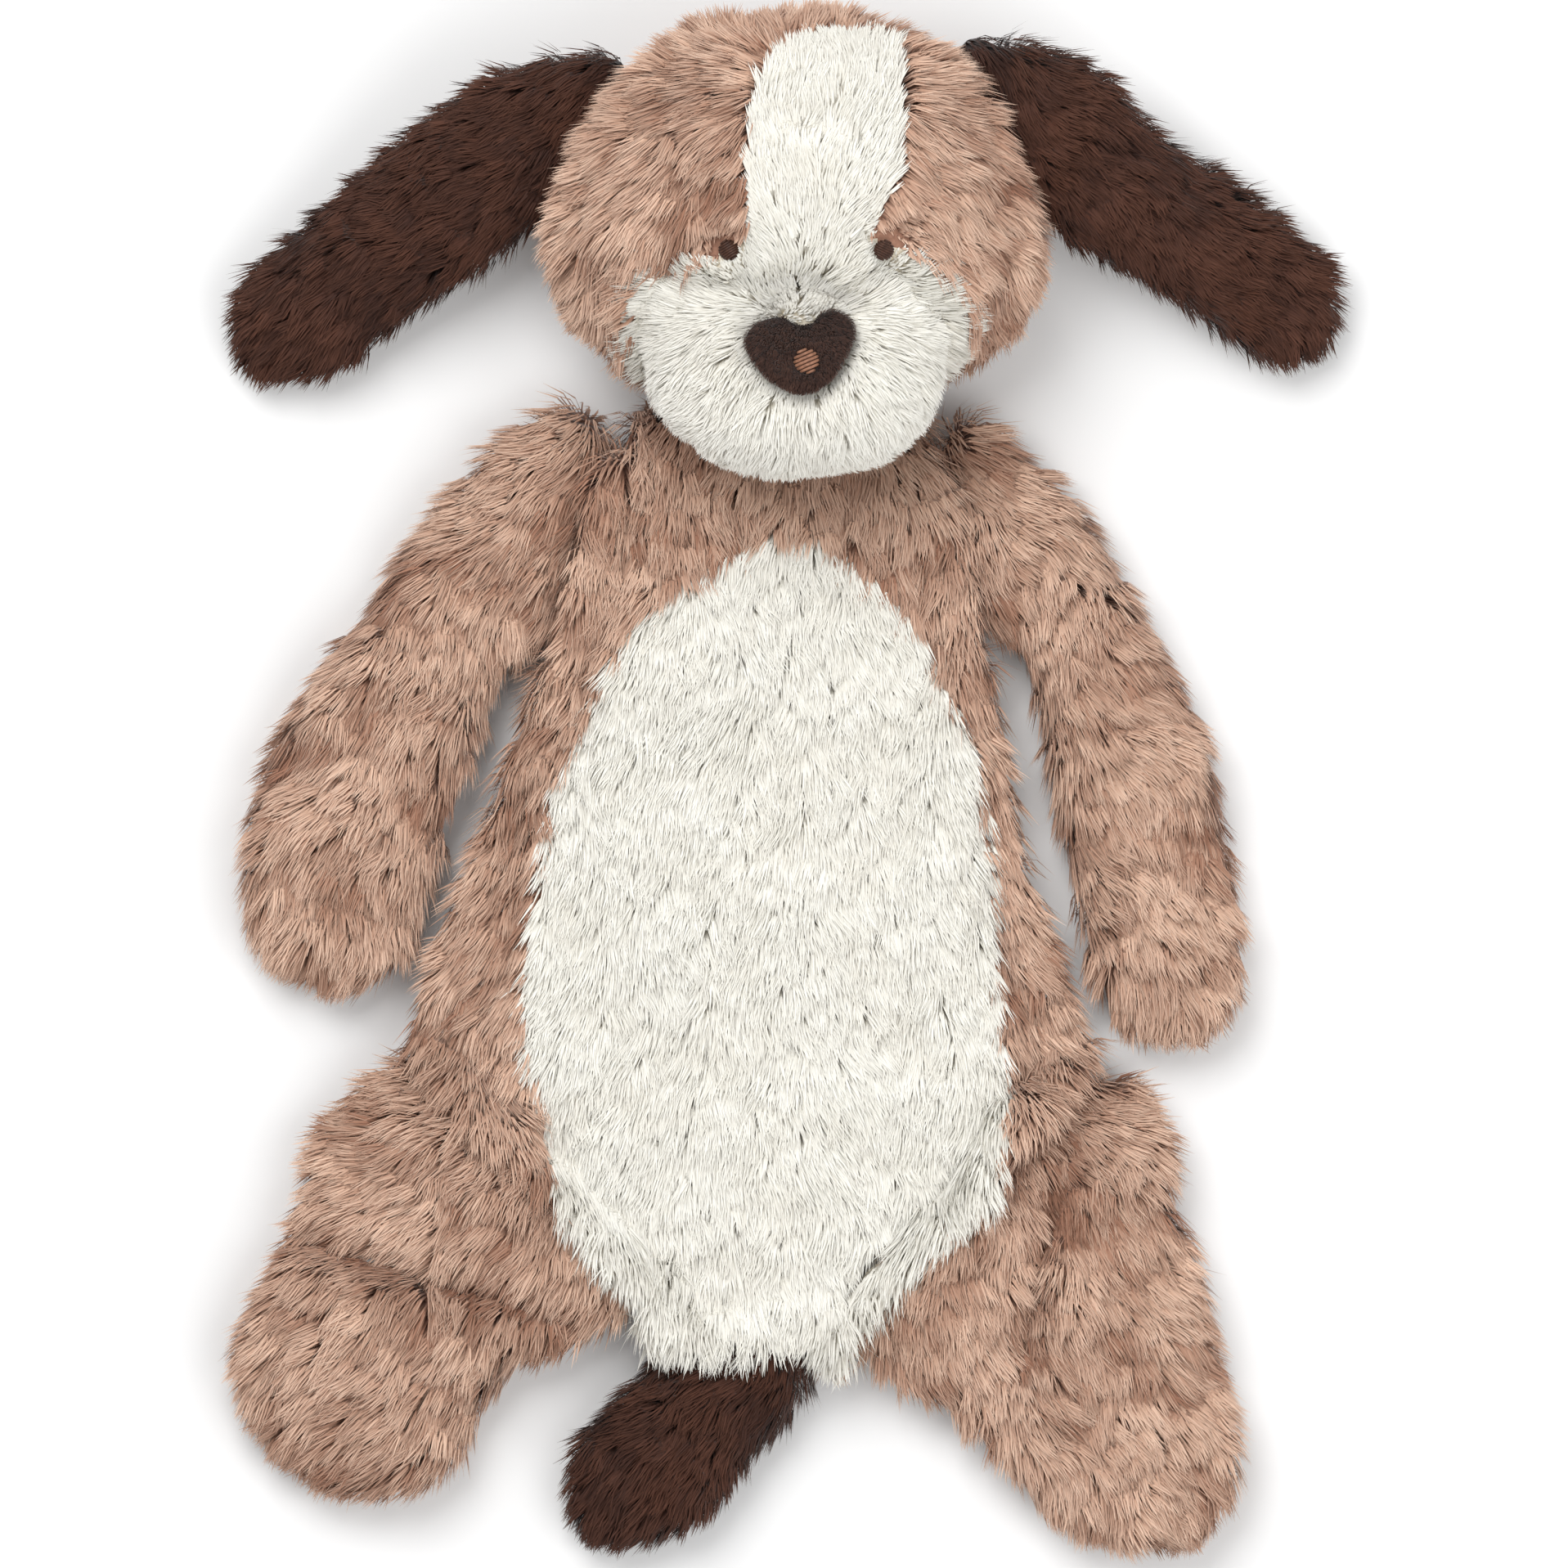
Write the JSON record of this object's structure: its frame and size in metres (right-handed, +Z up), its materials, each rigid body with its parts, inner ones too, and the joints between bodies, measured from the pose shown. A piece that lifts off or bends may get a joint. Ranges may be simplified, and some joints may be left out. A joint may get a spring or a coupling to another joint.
{
  "type": "plush dog",
  "caption": "Floppy under-filled plush dog lying on its back, with drooping ears, embroidered eyes, a velour nose, a white belly and blaze, and limbs that fold on their seams.",
  "frame": {"origin": "point on the flat of the back where the toy lies on the floor, under the middle of its overall length and width", "axes": "+Y from the tail to the head, +Z up out of the belly, +X to the side that is on the right when the toy is seen from above with its head at the top"},
  "size_m": [0.285, 0.3927, 0.0861],
  "materials": {
    "plush_tan": "long soft pile, matt",
    "plush_white": "long soft pile, matt",
    "plush_brown": "dense pile, soft sheen",
    "filling": "loose polyester fibre",
    "eye_embroidery": "satin stitch",
    "nose_velour": "short velour",
    "nose_embroidery": "satin stitch",
    "sewing_thread": "spun polyester thread"
  },
  "bodies": {
    "torso": {"belly": "plush_white", "front_left": "plush_tan", "front_right": "plush_tan", "back_left": "plush_tan", "back_right": "plush_tan", "closing_stitches": "sewing_thread", "torso_filling": "filling"},
    "arm_left": {"arm_left_front": "plush_tan", "arm_left_back": "plush_tan", "arm_left_filling": "filling"},
    "arm_right": {"arm_right_front": "plush_tan", "arm_right_back": "plush_tan", "arm_right_filling": "filling"},
    "leg_left": {"leg_left_front": "plush_tan", "leg_left_back": "plush_tan", "leg_left_filling": "filling"},
    "leg_right": {"leg_right_front": "plush_tan", "leg_right_back": "plush_tan", "leg_right_filling": "filling"},
    "tail": {"tail_front": "plush_brown", "tail_back": "plush_brown", "tail_filling": "filling"},
    "neck": {"neck_thread": "sewing_thread"},
    "head": {"face": "plush_white", "cheek_left": "plush_tan", "cheek_right": "plush_tan", "head_back": "plush_tan", "head_filling": "filling", "eye_left": "eye_embroidery", "eye_right": "eye_embroidery", "nose": "nose_velour", "nose_knot": "nose_embroidery"},
    "ear_left": {"ear_left_front": "plush_brown", "ear_left_back": "plush_brown", "ear_left_filling": "filling"},
    "ear_right": {"ear_right_front": "plush_brown", "ear_right_back": "plush_brown", "ear_right_filling": "filling"}
  },
  "joints": [
    {"name": "arm_left_fold", "type": "hinge", "parent": "torso", "child": "arm_left", "pos_m": [-0.062, 0.06463, 0.011], "axis": [0.2924, 0.9563, 0], "range_deg": [-30, 40]},
    {"name": "arm_right_fold", "type": "hinge", "parent": "torso", "child": "arm_right", "pos_m": [0.055, 0.06463, 0.011], "axis": [0.284, -0.9588, 0], "range_deg": [-30, 40]},
    {"name": "leg_left_fold", "type": "hinge", "parent": "torso", "child": "leg_left", "pos_m": [-0.073, -0.10791, 0.0115], "axis": [-0.7547, 0.6561, 0], "range_deg": [-30, 45]},
    {"name": "leg_right_fold", "type": "hinge", "parent": "torso", "child": "leg_right", "pos_m": [0.056, -0.11277, 0.0115], "axis": [-0.7193, -0.6947, 0], "range_deg": [-30, 45]},
    {"name": "tail_lift", "type": "hinge", "parent": "torso", "child": "tail", "pos_m": [-0.012, -0.148, 0.009], "axis": [-0.9925, -0.1219, 0], "range_deg": [-30, 45]},
    {"name": "head_nod", "type": "hinge", "parent": "torso", "child": "neck", "pos_m": [0.003, 0.0815, 0.012], "axis": [1, 0, 0], "range_deg": [-18, 22]},
    {"name": "head_tilt", "type": "hinge", "parent": "neck", "child": "head", "pos_m": [0.003, 0.09478, 0.01781], "axis": [0, -0.4007, 0.9162], "range_deg": [-11, 11]},
    {"name": "ear_left_flop", "type": "hinge", "parent": "head", "child": "ear_left", "pos_m": [-0.04814, 0.16825, 0.037], "axis": [0.3496, 0.9109, 0.2191], "range_deg": [-10, 42]},
    {"name": "ear_right_flop", "type": "hinge", "parent": "head", "child": "ear_right", "pos_m": [0.05113, 0.17247, 0.037], "axis": [0.3176, -0.9251, -0.2082], "range_deg": [-10, 42]}
  ]
}
